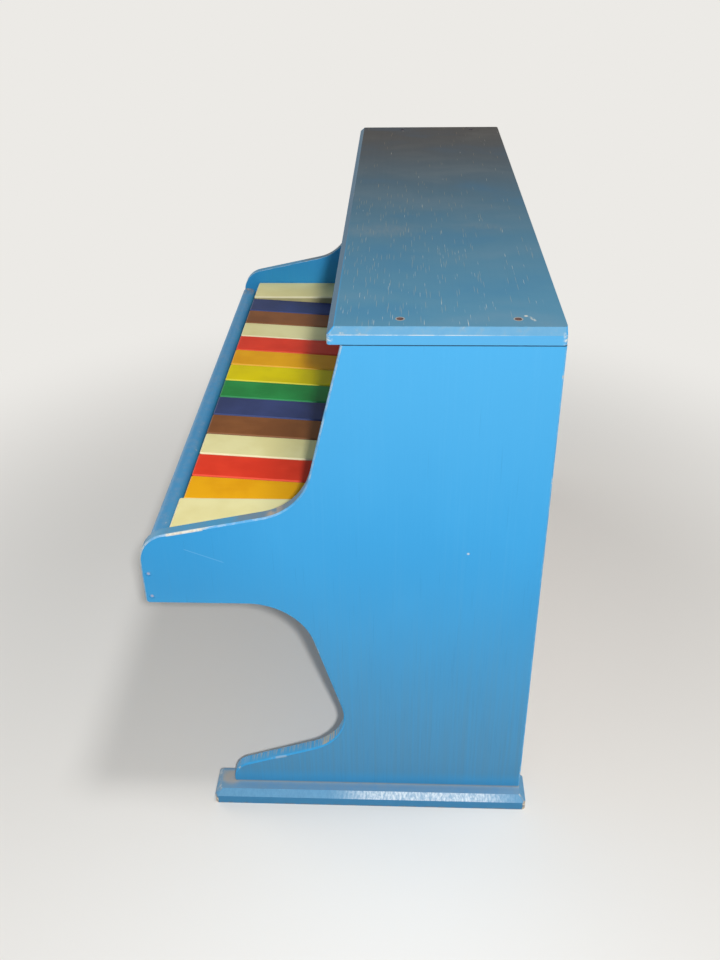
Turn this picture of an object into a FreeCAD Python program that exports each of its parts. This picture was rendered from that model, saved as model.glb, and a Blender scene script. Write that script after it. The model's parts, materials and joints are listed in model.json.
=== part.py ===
"""Toy upright piano: a painted plywood case, twelve plastic keys on one axle, and for each key
a hammer and a steel tone bar.

Millimetres, +Z up, player at -Y, bass at -X. The origin lies on the floor, midway between the feet.
"""
import FreeCAD, Part
import math
import operator
import os

import Sketcher
from FreeCAD import Placement, Rotation, Vector

KEYS = 12
# Semitones above the lowest note, for the diatonic run from G to the D an octave and a fifth above
SEMITONES = (0, 2, 4, 5, 7, 9, 10, 12, 14, 16, 17, 19)
# A free bar's still points lie this share of its length from its middle
NODE_SHARE = 0.276

# Driving dimensions. A depth is measured forward from the side panels' back edge, a height up from the floor.
SIZES = (
    # side panels
    ("panel_thickness", 5.0),
    ("case_depth", 153.0),
    ("case_height", 218.9),
    ("top_depth", 73.9),
    ("crook_depth", 90.2),
    ("crook_height", 152.4),
    ("arm_top", 138.9),
    ("arm_bottom", 108.3),
    ("left_arm_drop", 2.0),
    ("knee_depth", 93.3),
    ("waist_depth", 72.3),
    ("waist_height", 34.4),
    ("toe_depth", 126.3),
    ("toe_height", 15.4),
    ("crook_radius", 24.0),
    ("arm_radius", 13.0),
    ("arm_corner_radius", 1.5),
    ("knee_radius", 26.4),
    ("waist_radius", 20.3),
    ("toe_radius", 9.5),
    ("outer_chamfer", 0.6),
    ("inner_chamfer", 0.25),
    # top board
    ("top_thickness", 5.6),
    ("top_overhang", 4.7),
    ("top_chamfer", 2.2),
    ("top_corner_radius", 1.2),
    # feet
    ("foot_thickness", 6.7),
    ("foot_edge", 4.2),
    ("foot_bevel", 2.5),
    ("foot_width", 15.9),
    ("foot_reach", 6.8),
    ("foot_front", 8.3),
    ("foot_back", 2.4),
    ("foot_corner_radius", 1.6),
    # front rail
    ("rail_proud", 1.2),
    ("rail_thickness", 7.8),
    ("rail_height", 19.4),
    ("rail_radius", 3.0),
    # inner boards
    ("bed_thickness", 5.6),
    ("fall_thickness", 4.0),
    ("fall_setback", 8.0),
    ("fall_clearance", 1.0),
    ("fall_radius", 1.5),
    ("knee_thickness", 4.0),
    ("knee_setback", 2.0),
    ("board_lift", 2.0),
    ("back_thickness", 3.0),
    ("cleat_width", 7.0),
    ("cleat_height", 8.0),
    ("cleat_gap", 1.0),
    # keys
    ("key_pitch", 18.45),
    ("key_gap", 0.5),
    ("key_front_gap", 1.85),
    ("key_axle_depth", 71.0),
    ("key_axle_lift", 5.4),
    ("key_axle_radius", 1.5),
    ("key_top", 7.0),
    ("key_skirt", 11.0),
    ("key_wall", 1.6),
    ("key_hub", 6.0),
    ("key_tilt", 3.6),
    ("key_edge_radius", 0.9),
    ("tail_reach", 45.0),
    ("tail_width", 8.0),
    ("tail_height", 6.0),
    ("tail_drop", 0.5),
    ("capstan_reach", 42.0),
    ("capstan_width", 6.0),
    ("capstan_rise", 16.0),
    ("capstan_radius", 2.5),
    ("felt_clearance", 0.3),
    ("felt_width", 8.0),
    # end blocks
    ("block_left", 24.5),
    ("block_right", 35.7),
    ("block_height", 17.8),
    ("block_wall", 2.0),
    ("block_radius", 1.2),
    ("block_gap", 0.2),
    ("block_left_front_gap", 2.6),
    ("block_right_front_gap", 1.0),
    # hammers
    ("hammer_axle_depth", 17.0),
    ("hammer_axle_radius", 1.25),
    ("hammer_clearance", 0.35),
    ("hammer_hub_radius", 3.5),
    ("hammer_gap", 0.6),
    ("hammer_arm_half", 3.0),
    ("hammer_arm_width", 6.0),
    ("hammer_reach", 24.0),
    ("hammer_nose", 4.5),
    ("hammer_head_radius", 3.5),
    ("hammer_head_rise", 14.0),
    ("hammer_head_bevel", 1.0),
    ("axle_clearance", 0.05),
    # tone bars and what carries them
    ("bar_length", 64.0),
    ("bar_width", 12.0),
    ("bar_thickness", 1.2),
    ("bar_clearance", 0.4),
    ("bar_rail_width", 6.0),
    ("bar_rail_height", 7.0),
    ("bar_felt_width", 5.0),
    ("bar_felt_thickness", 2.0),
    ("pin_radius", 0.7),
    ("pin_head_radius", 1.5),
    ("pin_head_height", 0.6),
    ("pin_play", 0.4),
    ("pin_fit", 0.05),
    ("pin_depth", 5.0),
    ("bracket_thickness", 6.0),
    ("bracket_gap", 1.0),
    ("bracket_front", 5.0),
    ("bracket_back", 8.0),
    ("bracket_shoulder", 10.0),
    ("bracket_block_gap", 2.0),
    # nails
    ("nail_radius", 1.1),
    ("nail_length", 12.0),
    ("nail_point", 2.0),
    ("nail_recess", 0.8),
    ("nail_fit", 0.05),
    ("top_nail_front_margin", 19.4),
    ("top_nail_back_margin", 15.5),
    ("rail_nail_margin", 3.6),
    ("rail_nail_spacing", 10.9),
    ("rail_nail_recess", 0.15),
    ("foot_nail_margin", 20.0),
)


class Size:
    """A number tied to the sheet: its value now, and the expression that gives it."""

    def __init__(self, value, text):
        self.value = value
        self.text = text

    def __add__(self, other):
        return joined(self, operator.add, "+", other)

    def __radd__(self, other):
        return joined(other, operator.add, "+", self)

    def __sub__(self, other):
        return joined(self, operator.sub, "-", other)

    def __rsub__(self, other):
        return joined(other, operator.sub, "-", self)

    def __mul__(self, other):
        return joined(self, operator.mul, "*", other)

    def __rmul__(self, other):
        return joined(other, operator.mul, "*", self)

    def __truediv__(self, other):
        return joined(self, operator.truediv, "/", other)

    def __neg__(self):
        return -1 * self


def as_size(number):
    if isinstance(number, Size):
        return number
    return Size(float(number), repr(float(number)))


def joined(left, act, sign, right):
    left = as_size(left)
    right = as_size(right)
    return Size(act(left.value, right.value), f"({left.text} {sign} {right.text})")


def sine(angle):
    return Size(math.sin(math.radians(angle.value)), f"sin({angle.text})")


def cosine(angle):
    return Size(math.cos(math.radians(angle.value)), f"cos({angle.text})")


def arc_cosine(ratio):
    return Size(math.degrees(math.acos(ratio.value)), f"acos({ratio.text})")


def arc_tangent(ratio):
    return Size(math.degrees(math.atan(ratio.value)), f"atan({ratio.text})")


def root(number):
    return Size(math.sqrt(number.value), f"sqrt({number.text})")


doc = FreeCAD.newDocument("toy_piano")
sheet = doc.addObject("Spreadsheet::Sheet", "sizes")
for row, (alias, number) in enumerate(SIZES, 1):
    sheet.set(f"A{row}", alias)
    sheet.set(f"B{row}", str(number))
    sheet.setAlias(f"B{row}", alias)
doc.recompute()


class Sheet:
    """Each driving dimension by its alias."""

    def __getattr__(self, alias):
        return Size(float(sheet.get(alias)), f"sizes.{alias}")


d = Sheet()
nodes = {}

# Places worked out from the driving dimensions
keys_width = KEYS * d.key_pitch
inner_half = (d.block_left + keys_width + d.block_right) / 2
outer_half = inner_half + d.panel_thickness
keys_left = d.block_left - inner_half
keys_right = keys_left + keys_width
rail_front = d.case_depth + d.rail_proud
back_edge = (rail_front - d.foot_back) / 2


def forward(depth):
    """The Y of a point that lies this depth in front of the side panels' back edge."""
    return back_edge - depth


def key_middle(index):
    """The X of a key's middle, counted from the bass."""
    return keys_left + (index + 0.5) * d.key_pitch


rail_back = rail_front - d.rail_thickness
bed_top = d.arm_bottom + d.bed_thickness
block_top = bed_top + d.block_height
key_axle_height = bed_top + d.key_axle_lift
key_reach = rail_back - d.key_front_gap - d.key_axle_depth
key_width = d.key_pitch - d.key_gap
key_foot = d.key_top - d.key_skirt
bracket_front = d.key_axle_depth + d.bracket_front
block_back = bracket_front + d.bracket_block_gap

# A pressed key lies level. The hammer's arm then lies level on its capstan.
hammer_axle_height = key_axle_height + d.capstan_rise + d.hammer_clearance + d.hammer_arm_half
tip_rise = d.capstan_rise - d.capstan_radius
tip_depth = d.key_axle_depth - d.capstan_reach * cosine(d.key_tilt) - tip_rise * sine(d.key_tilt)
tip_height = key_axle_height + tip_rise * cosine(d.key_tilt) - d.capstan_reach * sine(d.key_tilt)
tip_ahead = tip_depth - d.hammer_axle_depth
tip_below = hammer_axle_height - tip_height
tip_range = root(tip_ahead * tip_ahead + tip_below * tip_below)
# At rest the arm hangs by this angle, where its underside is again one clearance off the capstan's round tip
tip_distance = d.hammer_arm_half + d.hammer_clearance + d.capstan_radius
hammer_drop = arc_cosine(tip_distance / tip_range) - arc_tangent(tip_ahead / tip_below)

bar_middle = d.hammer_axle_depth + d.hammer_reach
bar_bottom = hammer_axle_height + d.hammer_head_rise + d.bar_clearance
bar_top = bar_bottom + d.bar_thickness
bar_rail_top = bar_bottom - d.bar_felt_thickness
bar_rail_bottom = bar_rail_top - d.bar_rail_height
bracket_left = keys_left - d.bracket_gap - d.bracket_thickness
bracket_right = keys_right + d.bracket_gap


def bar_length(index):
    """A bar's pitch falls with the square of its length, so the length halves every two octaves."""
    return d.bar_length / 2 ** (SEMITONES[index] / 24)


def node_offset(x):
    """How far the rails run from the bars' middle line, straight from end bar to end bar."""
    first = NODE_SHARE * bar_length(0)
    last = NODE_SHARE * bar_length(KEYS - 1)
    return first + (last - first) * (x - key_middle(0)) / (keys_width - d.key_pitch)


def bind(thing, name, size):
    thing.setExpression(name, as_size(size).text)


def put(thing, x=0, y=0, z=0):
    for axis, size in (("x", x), ("y", y), ("z", z)):
        bind(thing, f"Placement.Base.{axis}", size)


def turn(thing, axis, angle):
    """Turn a piece about an axis through its own origin."""
    thing.Placement = Placement(Vector(), Rotation(axis, as_size(angle).value))
    bind(thing, "Placement.Rotation.Angle", angle)


def new_body(label):
    body = doc.addObject("PartDesign::Body", label)
    body.Label = label
    return body


def new_sketch(body, plane, lift=None):
    sketch = body.newObject("Sketcher::SketchObject", f"{body.Label}_sketch")
    base = next(feature for feature in body.Origin.OriginFeatures if feature.Role == plane)
    sketch.AttachmentSupport = [(base, "")]
    sketch.MapMode = "FlatFace"
    if lift is not None:
        bind(sketch, "AttachmentOffset.Base.z", lift)
    return sketch


def fix_point(sketch, curve, point, x, y):
    """Tie a curve's point to the sketch's origin."""
    for kind, size in (("DistanceX", as_size(x)), ("DistanceY", as_size(y))):
        number = sketch.addConstraint(Sketcher.Constraint(kind, -1, 1, curve, point, size.value))
        bind(sketch, f"Constraints[{number}]", size)


def draw_outline(sketch, corners):
    """A closed outline of straight lines through the corners."""
    first = sketch.GeometryCount
    count = len(corners)
    points = [Vector(as_size(x).value, as_size(y).value, 0) for x, y in corners]
    for index in range(count):
        sketch.addGeometry(Part.LineSegment(points[index], points[(index + 1) % count]))
    for index in range(count):
        following = first + (index + 1) % count
        sketch.addConstraint(Sketcher.Constraint("Coincident", first + index, 2, following, 1))
    for index, (x, y) in enumerate(corners):
        fix_point(sketch, first + index, 1, x, y)


def draw_rectangle(sketch, x_low, y_low, x_high, y_high):
    draw_outline(sketch, [(x_low, y_low), (x_high, y_low), (x_high, y_high), (x_low, y_high)])


def draw_circle(sketch, x, y, radius):
    middle = Vector(as_size(x).value, as_size(y).value, 0)
    curve = sketch.addGeometry(Part.Circle(middle, Vector(0, 0, 1), radius.value))
    fix_point(sketch, curve, 3, x, y)
    number = sketch.addConstraint(Sketcher.Constraint("Radius", curve, radius.value))
    bind(sketch, f"Constraints[{number}]", radius)


def pad(body, sketch, length, symmetric=False, taper=None):
    feature = body.newObject("PartDesign::Pad", f"{body.Label}_pad")
    feature.Profile = sketch
    bind(feature, "Length", length)
    if symmetric:
        feature.SideType = "Symmetric"
    if taper is not None:
        bind(feature, "TaperAngle", taper)
    return feature


def pocket(body, sketch, length=None, symmetric=False, upward=False):
    """Cut the sketch away from the body, through all of it unless a length is given."""
    doc.recompute()
    before = body.Tip.Shape.Volume
    feature = body.newObject("PartDesign::Pocket", f"{body.Label}_pocket")
    feature.Profile = sketch
    feature.Reversed = upward
    if symmetric:
        feature.SideType = "Symmetric"
    if length is None:
        feature.Type = "ThroughAll"
    else:
        bind(feature, "Length", length)
    doc.recompute()
    if feature.Shape.Volume >= before:
        raise RuntimeError(f"{body.Label}: a pocket cuts nothing")
    return feature


def dress(body, kind, prop, size, wanted):
    """Fillet or chamfer the edges whose middle point passes the test."""
    doc.recompute()
    base = body.Tip
    names = []
    for number, edge in enumerate(base.Shape.Edges, 1):
        middle = edge.valueAt((edge.FirstParameter + edge.LastParameter) / 2)
        if wanted(edge, middle):
            names.append(f"Edge{number}")
    if not names:
        raise RuntimeError(f"{body.Label}: no edge to dress")
    feature = body.newObject(f"PartDesign::{kind}", f"{body.Label}_{kind.lower()}")
    feature.Base = (base, names)
    bind(feature, prop, size)
    return feature


def fillet(body, radius, wanted):
    return dress(body, "Fillet", "Radius", radius, wanted)


def chamfer(body, size, wanted):
    return dress(body, "Chamfer", "Size", size, wanted)


def near(number, size):
    return abs(number - as_size(size).value) < 1e-4


def at_corner(edge, middle):
    """An edge that climbs along a board's corner."""
    foot = edge.valueAt(edge.FirstParameter)
    head = edge.valueAt(edge.LastParameter)
    return not near(foot.z, head.z)


def finished(body):
    doc.recompute()
    nodes[body.Label] = body
    return body


def group(label, pieces):
    """Separate solids that share one node."""
    compound = doc.addObject("Part::Compound", label)
    compound.Label = label
    compound.Links = pieces
    return finished(compound)


def board(label, x_low, y_low, z_low, x_high, y_high, z_high):
    """A plain rectangular board or strip."""
    body = new_body(label)
    sketch = new_sketch(body, "XY_Plane")
    draw_rectangle(sketch, x_low, y_low, x_high, y_high)
    pad(body, sketch, z_high - z_low)
    put(body, z=z_low)
    return body


def cylinder(label, radius, length):
    rod = doc.addObject("Part::Cylinder", label)
    rod.Label = label
    bind(rod, "Radius", radius)
    bind(rod, "Height", length)
    return rod


# The nails' places: heads sit a recess below the face that they enter, a slighter one in the arms
nail_hole = d.nail_radius + d.nail_fit
top_nail_x = inner_half - d.cleat_width / 2
top_nail_depths = (d.top_depth - d.top_nail_front_margin, d.top_nail_back_margin)
rail_nail_depth = rail_back + d.rail_thickness / 2
lower_rail_nail = d.arm_bottom + d.rail_nail_margin
rail_nail_heights = (lower_rail_nail, lower_rail_nail + d.rail_nail_spacing)
foot_nail_depths = (d.foot_nail_margin, d.toe_depth - d.foot_nail_margin)


def make_side_panel(label, x_low, outer_face, inner_face, arm_drop):
    """A plywood side cut to a rounded arm above and a knee recess below, drawn on its own profile.

    The bass side's arm is sawn a little lower than the treble side's.
    """
    corners = {
        "heel": (forward(0), d.foot_thickness),
        "shoulder": (forward(0), d.case_height),
        "brow": (forward(d.top_depth), d.case_height),
        "crook": (forward(d.crook_depth), d.crook_height - arm_drop),
        "arm": (forward(d.case_depth), d.arm_top - arm_drop),
        "arm_corner": (forward(d.case_depth), d.arm_bottom),
        "knee": (forward(d.knee_depth), d.arm_bottom),
        "waist": (forward(d.waist_depth), d.waist_height),
        "toe": (forward(d.toe_depth), d.toe_height),
        "toe_end": (forward(d.toe_depth), d.foot_thickness),
    }
    body = new_body(label)
    sketch = new_sketch(body, "YZ_Plane")
    draw_outline(sketch, list(corners.values()))
    pad(body, sketch, d.panel_thickness)
    for name in ("crook", "arm", "arm_corner", "knee", "waist", "toe"):
        y, z = corners[name]
        radius = getattr(d, f"{name}_radius")
        fillet(body, radius, lambda edge, middle: near(middle.y, y) and near(middle.z, z))

    def glued(middle):
        return near(middle.z, d.case_height) or near(middle.z, d.foot_thickness)

    chamfer(body, d.outer_chamfer, lambda edge, middle: near(middle.x, outer_face) and not glued(middle))
    chamfer(body, d.inner_chamfer, lambda edge, middle: near(middle.x, inner_face) and not glued(middle))
    holes = new_sketch(body, "YZ_Plane")
    for height in rail_nail_heights:
        draw_circle(holes, forward(rail_nail_depth), height, nail_hole)
    pocket(body, holes, upward=True)
    foot_holes = new_sketch(body, "XY_Plane", d.foot_thickness)
    for depth in foot_nail_depths:
        draw_circle(foot_holes, d.panel_thickness / 2, forward(depth), nail_hole)
    pocket(body, foot_holes, d.nail_recess + d.nail_length - d.foot_thickness, upward=True)
    put(body, x=x_low)
    return finished(body)


def make_foot(label, x_outer, side):
    """A bevelled bar under one side panel, that reaches out past it and in front of it."""
    body = new_body(label)
    y_low = forward(d.toe_depth + d.foot_front)
    y_high = forward(-d.foot_back)
    lower = new_sketch(body, "XY_Plane")
    draw_rectangle(lower, -d.foot_width / 2, y_low, d.foot_width / 2, y_high)
    pad(body, lower, d.foot_edge)
    upper = new_sketch(body, "XY_Plane", d.foot_edge)
    draw_rectangle(upper, -d.foot_width / 2, y_low, d.foot_width / 2, y_high)
    bevel_height = d.foot_thickness - d.foot_edge
    pad(body, upper, bevel_height, taper=-arc_tangent(d.foot_bevel / bevel_height))
    fillet(body, d.foot_corner_radius, at_corner)
    holes = new_sketch(body, "XY_Plane")
    x_panel = side * (d.foot_width / 2 - d.foot_reach - d.panel_thickness / 2)
    for depth in foot_nail_depths:
        draw_circle(holes, x_panel, forward(depth), nail_hole)
    pocket(body, holes, upward=True)
    put(body, x=side * (x_outer + d.foot_reach - d.foot_width / 2))
    return finished(body)


def make_top_board():
    """The lid of the case, bevelled along its front and both ends, with four nail holes."""
    body = new_body("top_board")
    y_front = forward(d.top_depth + d.top_overhang)
    sketch = new_sketch(body, "XY_Plane")
    draw_rectangle(sketch, -outer_half, y_front, outer_half, forward(0))
    pad(body, sketch, d.top_thickness)

    def bevelled(edge, middle):
        at_end = near(abs(middle.x), outer_half)
        return near(middle.z, d.top_thickness) and (at_end or near(middle.y, y_front))

    chamfer(body, d.top_chamfer, bevelled)
    fillet(body, d.top_corner_radius, at_corner)
    holes = new_sketch(body, "XY_Plane")
    for side in (-1, 1):
        for depth in top_nail_depths:
            draw_circle(holes, side * top_nail_x, forward(depth), nail_hole)
    pocket(body, holes, upward=True)
    put(body, z=d.case_height)
    return finished(body)


def make_front_rail():
    """The strip before the keys: rounded on top, a little proud of the arms that it is nailed through."""
    body = new_body("front_rail")
    rail_top = d.arm_bottom + d.rail_height
    sketch = new_sketch(body, "YZ_Plane")
    draw_rectangle(sketch, forward(rail_front), d.arm_bottom, forward(rail_back), rail_top)
    pad(body, sketch, 2 * inner_half, symmetric=True)
    fillet(body, d.rail_radius, lambda edge, middle: near(middle.z, rail_top) and near(middle.x, 0))
    depth = d.rail_nail_recess + d.nail_length - d.panel_thickness
    for end, inward in ((-inner_half, True), (inner_half, False)):
        holes = new_sketch(body, "YZ_Plane", end)
        for height in rail_nail_heights:
            draw_circle(holes, forward(rail_nail_depth), height, nail_hole)
        pocket(body, holes, depth, upward=inward)
    return finished(body)


def make_key_bed():
    return finished(board("key_bed", -inner_half, forward(rail_back), d.arm_bottom,
                          inner_half, forward(d.back_thickness), bed_top))


def make_fall_board():
    """The board behind the keys, which leans like the side panels' front edges."""
    body = new_body("fall_board")
    foot_height = block_top + d.fall_clearance
    lean = (d.crook_depth - d.top_depth) / (d.case_height - d.crook_height)
    face_top = d.top_depth - d.fall_setback
    face_foot = face_top + lean * (d.case_height - foot_height)
    sketch = new_sketch(body, "YZ_Plane")
    draw_outline(sketch, [
        (forward(face_foot), foot_height),
        (forward(face_foot - d.fall_thickness), foot_height),
        (forward(face_top - d.fall_thickness), d.case_height),
        (forward(face_top), d.case_height),
    ])
    pad(body, sketch, 2 * inner_half, symmetric=True)

    def lower_front(edge, middle):
        return near(middle.x, 0) and near(middle.y, forward(face_foot)) and near(middle.z, foot_height)

    fillet(body, d.fall_radius, lower_front)
    return finished(body)


def make_knee_board():
    face = d.waist_depth - d.knee_setback
    return finished(board("knee_board", -inner_half, forward(face), d.foot_thickness + d.board_lift,
                          inner_half, forward(face - d.knee_thickness), d.arm_bottom))


def make_back_panel():
    foot_height = d.foot_thickness + d.board_lift
    return finished(board("back_panel", -inner_half, forward(d.back_thickness), foot_height,
                          inner_half, forward(0), d.case_height))


def make_top_cleats():
    """Battens in the corners under the top board, which take its nails."""
    front = d.top_depth - d.fall_setback - d.fall_thickness - d.cleat_gap
    back = d.back_thickness + d.cleat_gap
    pieces = []
    for name, x_low in (("cleat_left", -inner_half), ("cleat_right", inner_half - d.cleat_width)):
        body = board(name, x_low, forward(front), d.case_height - d.cleat_height,
                     x_low + d.cleat_width, forward(back), d.case_height)
        holes = new_sketch(body, "XY_Plane")
        for depth in top_nail_depths:
            draw_circle(holes, x_low + d.cleat_width / 2, forward(depth), nail_hole)
        pocket(body, holes, upward=True)
        pieces.append(body)
    return group("top_cleats", pieces)


def make_end_block(label, x_low, width, front_gap):
    """A moulded filler beside the keys: a shell with rounded edges, open below."""
    body = new_body(label)
    half = width / 2 - d.block_gap
    front = rail_back - front_gap
    sketch = new_sketch(body, "YZ_Plane")
    draw_rectangle(sketch, forward(front), bed_top, forward(block_back), block_top)
    pad(body, sketch, 2 * half, symmetric=True)

    def rounded(edge, middle):
        over = near(middle.z, block_top)
        upright = near(middle.y, forward(front)) and near(abs(middle.x), half)
        return over or upright

    fillet(body, d.block_radius, rounded)
    hollow = new_sketch(body, "YZ_Plane")
    draw_rectangle(hollow, forward(front - d.block_wall), bed_top,
                   forward(block_back + d.block_wall), block_top - d.block_wall)
    pocket(body, hollow, 2 * (half - d.block_wall), symmetric=True)
    put(body, x=x_low + width / 2)
    return finished(body)


def make_key(index):
    """A moulded key drawn level about its axle: hollow front, hub, tail, and a capstan under its hammer."""
    body = new_body(f"key_{index + 1:02d}")
    front = new_sketch(body, "YZ_Plane")
    draw_rectangle(front, -key_reach, key_foot, d.key_hub, d.key_top)
    pad(body, front, key_width, symmetric=True)

    def rounded(edge, middle):
        over = near(middle.z, d.key_top) and not near(middle.y, d.key_hub)
        upright = near(middle.y, -key_reach) and near(abs(middle.x), key_width / 2)
        return over or upright

    fillet(body, d.key_edge_radius, rounded)
    hollow = new_sketch(body, "YZ_Plane")
    draw_rectangle(hollow, d.key_wall - key_reach, key_foot, -d.key_hub, d.key_top - d.key_wall)
    pocket(body, hollow, key_width - 2 * d.key_wall, symmetric=True)
    tail = new_sketch(body, "YZ_Plane")
    draw_rectangle(tail, 0, -d.tail_drop, d.tail_reach, d.tail_height - d.tail_drop)
    pad(body, tail, d.tail_width, symmetric=True)
    capstan = new_sketch(body, "YZ_Plane")
    draw_rectangle(capstan, d.capstan_reach - d.capstan_radius, 0,
                   d.capstan_reach + d.capstan_radius, tip_rise)
    pad(body, capstan, d.capstan_width, symmetric=True)
    tip = new_sketch(body, "YZ_Plane")
    draw_circle(tip, d.capstan_reach, tip_rise, d.capstan_radius)
    pad(body, tip, d.capstan_width, symmetric=True)
    bore = new_sketch(body, "YZ_Plane")
    draw_circle(bore, 0, 0, d.key_axle_radius + d.axle_clearance)
    pocket(body, bore, key_width + d.key_gap, symmetric=True)
    turn(body, Vector(-1, 0, 0), d.key_tilt)
    put(body, key_middle(index), forward(d.key_axle_depth), key_axle_height)
    return finished(body)


def make_hammer(index):
    """A hammer drawn at its stroke about its axle: a long hub, an arm and an upright turned head."""
    body = new_body(f"hammer_{index + 1:02d}")
    hub_width = d.key_pitch - d.hammer_gap
    hub = new_sketch(body, "YZ_Plane")
    draw_circle(hub, 0, 0, d.hammer_hub_radius)
    pad(body, hub, hub_width, symmetric=True)
    arm = new_sketch(body, "YZ_Plane")
    draw_rectangle(arm, -d.hammer_reach - d.hammer_nose, -d.hammer_arm_half, 0, d.hammer_arm_half)
    pad(body, arm, d.hammer_arm_width, symmetric=True)
    head = new_sketch(body, "XY_Plane")
    draw_circle(head, 0, -d.hammer_reach, d.hammer_head_radius)
    pad(body, head, d.hammer_head_rise)
    chamfer(body, d.hammer_head_bevel, lambda edge, middle: near(middle.z, d.hammer_head_rise))
    bore = new_sketch(body, "YZ_Plane")
    draw_circle(bore, 0, 0, d.hammer_axle_radius + d.axle_clearance)
    pocket(body, bore, hub_width + d.hammer_gap, symmetric=True)
    turn(body, Vector(1, 0, 0), hammer_drop)
    put(body, key_middle(index), forward(d.hammer_axle_depth), hammer_axle_height)
    return finished(body)


def make_axle(label, radius, depth, height):
    """A steel rod from bracket to bracket."""
    rod = cylinder(label, radius, bracket_right + d.bracket_thickness - bracket_left)
    turn(rod, Vector(0, 1, 0), 90)
    put(rod, bracket_left, forward(depth), height)
    return finished(rod)


def make_action_bracket(label, x_low):
    """An upright on the key bed that holds both axles and carries the tone bar rails on its top edge."""
    body = new_body(label)
    back = d.hammer_axle_depth - d.bracket_back
    sketch = new_sketch(body, "YZ_Plane")
    draw_outline(sketch, [
        (forward(bracket_front), bed_top),
        (forward(back), bed_top),
        (forward(back), bar_rail_bottom),
        (forward(bracket_front - d.bracket_shoulder), bar_rail_bottom),
        (forward(bracket_front), key_axle_height + d.bracket_shoulder),
    ])
    pad(body, sketch, d.bracket_thickness)
    bores = new_sketch(body, "YZ_Plane")
    for depth, height, radius in (
            (d.key_axle_depth, key_axle_height, d.key_axle_radius),
            (d.hammer_axle_depth, hammer_axle_height, d.hammer_axle_radius)):
        draw_circle(bores, forward(depth), height, radius + d.axle_clearance)
    pocket(body, bores, upward=True)
    put(body, x=x_low)
    return finished(body)


def make_bar_strip(label, side, width, z_low, height):
    """A strip with a hole for each pin, under the bars' still points: side is 1 in front and -1 behind."""
    body = new_body(label)
    x_low = bracket_left
    x_high = bracket_right + d.bracket_thickness

    def centre(x):
        return forward(bar_middle + side * node_offset(x))

    sketch = new_sketch(body, "XY_Plane")
    draw_outline(sketch, [
        (x_low, centre(x_low) - width / 2),
        (x_high, centre(x_high) - width / 2),
        (x_high, centre(x_high) + width / 2),
        (x_low, centre(x_low) + width / 2),
    ])
    for index in range(KEYS):
        x = key_middle(index)
        draw_circle(sketch, x, centre(x), d.pin_radius + d.pin_fit)
    pad(body, sketch, height)
    put(body, z=z_low)
    return body


def make_tone_bar(index):
    """A steel plate with a loose hole at each of its still points."""
    body = new_body(f"tone_bar_{index + 1:02d}")
    length = bar_length(index)
    sketch = new_sketch(body, "XY_Plane")
    draw_rectangle(sketch, -d.bar_width / 2, -length / 2, d.bar_width / 2, length / 2)
    for side in (-1, 1):
        draw_circle(sketch, 0, side * node_offset(key_middle(index)), d.pin_radius + d.pin_play)
    pad(body, sketch, d.bar_thickness)
    put(body, key_middle(index), forward(bar_middle), bar_bottom)
    return finished(body)


def make_bar_pins():
    """Two headed pins per tone bar, driven through the felt into the rails."""
    pieces = []
    foot = bar_rail_top - d.pin_depth
    neck = bar_top + d.pin_play
    for index in range(KEYS):
        for name, side in (("front", 1), ("rear", -1)):
            x = key_middle(index)
            y = forward(bar_middle + side * node_offset(x))
            shank = cylinder(f"pin_shank_{name}_{index + 1}", d.pin_radius, neck - foot + d.pin_head_height)
            put(shank, x, y, foot)
            head = cylinder(f"pin_head_{name}_{index + 1}", d.pin_head_radius, d.pin_head_height)
            put(head, x, y, neck)
            pin = doc.addObject("Part::Fuse", f"pin_{name}_{index + 1}")
            pin.Base = shank
            pin.Tool = head
            pin.Refine = True
            pieces.append(pin)
    return group("bar_pins", pieces)


def make_nail(label, axis, angle, x, y, z):
    """A brad with a pointed tip, head end at the given place, driven along the turned Z axis."""
    shank = cylinder(f"{label}_shank", d.nail_radius, d.nail_length - d.nail_point)
    point = doc.addObject("Part::Cone", f"{label}_point")
    bind(point, "Radius1", d.nail_radius)
    bind(point, "Radius2", d.nail_radius / 4)
    bind(point, "Height", d.nail_point)
    bind(point, "Placement.Base.z", d.nail_length - d.nail_point)
    nail = doc.addObject("Part::Fuse", label)
    nail.Base = shank
    nail.Tool = point
    turn(nail, axis, angle)
    put(nail, x, y, z)
    return nail


def make_case_nails():
    """The nails of the top board, the front rail and the feet."""
    pieces = []
    along_y = Vector(0, 1, 0)
    for name, side in (("left", -1), ("right", 1)):
        for number, depth in enumerate(top_nail_depths, 1):
            z = d.case_height + d.top_thickness - d.nail_recess
            pieces.append(make_nail(f"top_nail_{name}_{number}", along_y, 180,
                                    side * top_nail_x, forward(depth), z))
        for number, height in enumerate(rail_nail_heights, 1):
            x = side * (outer_half - d.rail_nail_recess)
            pieces.append(make_nail(f"rail_nail_{name}_{number}", -side * along_y, 90,
                                    x, forward(rail_nail_depth), height))
        for number, depth in enumerate(foot_nail_depths, 1):
            x = side * (inner_half + d.panel_thickness / 2)
            pieces.append(make_nail(f"foot_nail_{name}_{number}", along_y, 0,
                                    x, forward(depth), d.nail_recess))
    return group("case_nails", pieces)


def make_key_felts():
    """A strip that the key tails rest on, and one that stops the fronts of pressed keys."""
    tail_foot = key_axle_height - d.tail_reach * sine(d.key_tilt) - d.tail_drop * cosine(d.key_tilt)
    rest_back = d.key_axle_depth - d.tail_reach
    rest = board("rest_felt", keys_left, forward(rest_back + d.felt_width), bed_top,
                 keys_right, forward(rest_back), tail_foot - d.felt_clearance)
    front_foot = key_axle_height + key_foot
    stop_front = d.key_axle_depth + key_reach
    stop = board("stop_felt", keys_left, forward(stop_front), bed_top,
                 keys_right, forward(stop_front - d.felt_width), front_foot - d.felt_clearance)
    return group("key_felts", [rest, stop])


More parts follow.
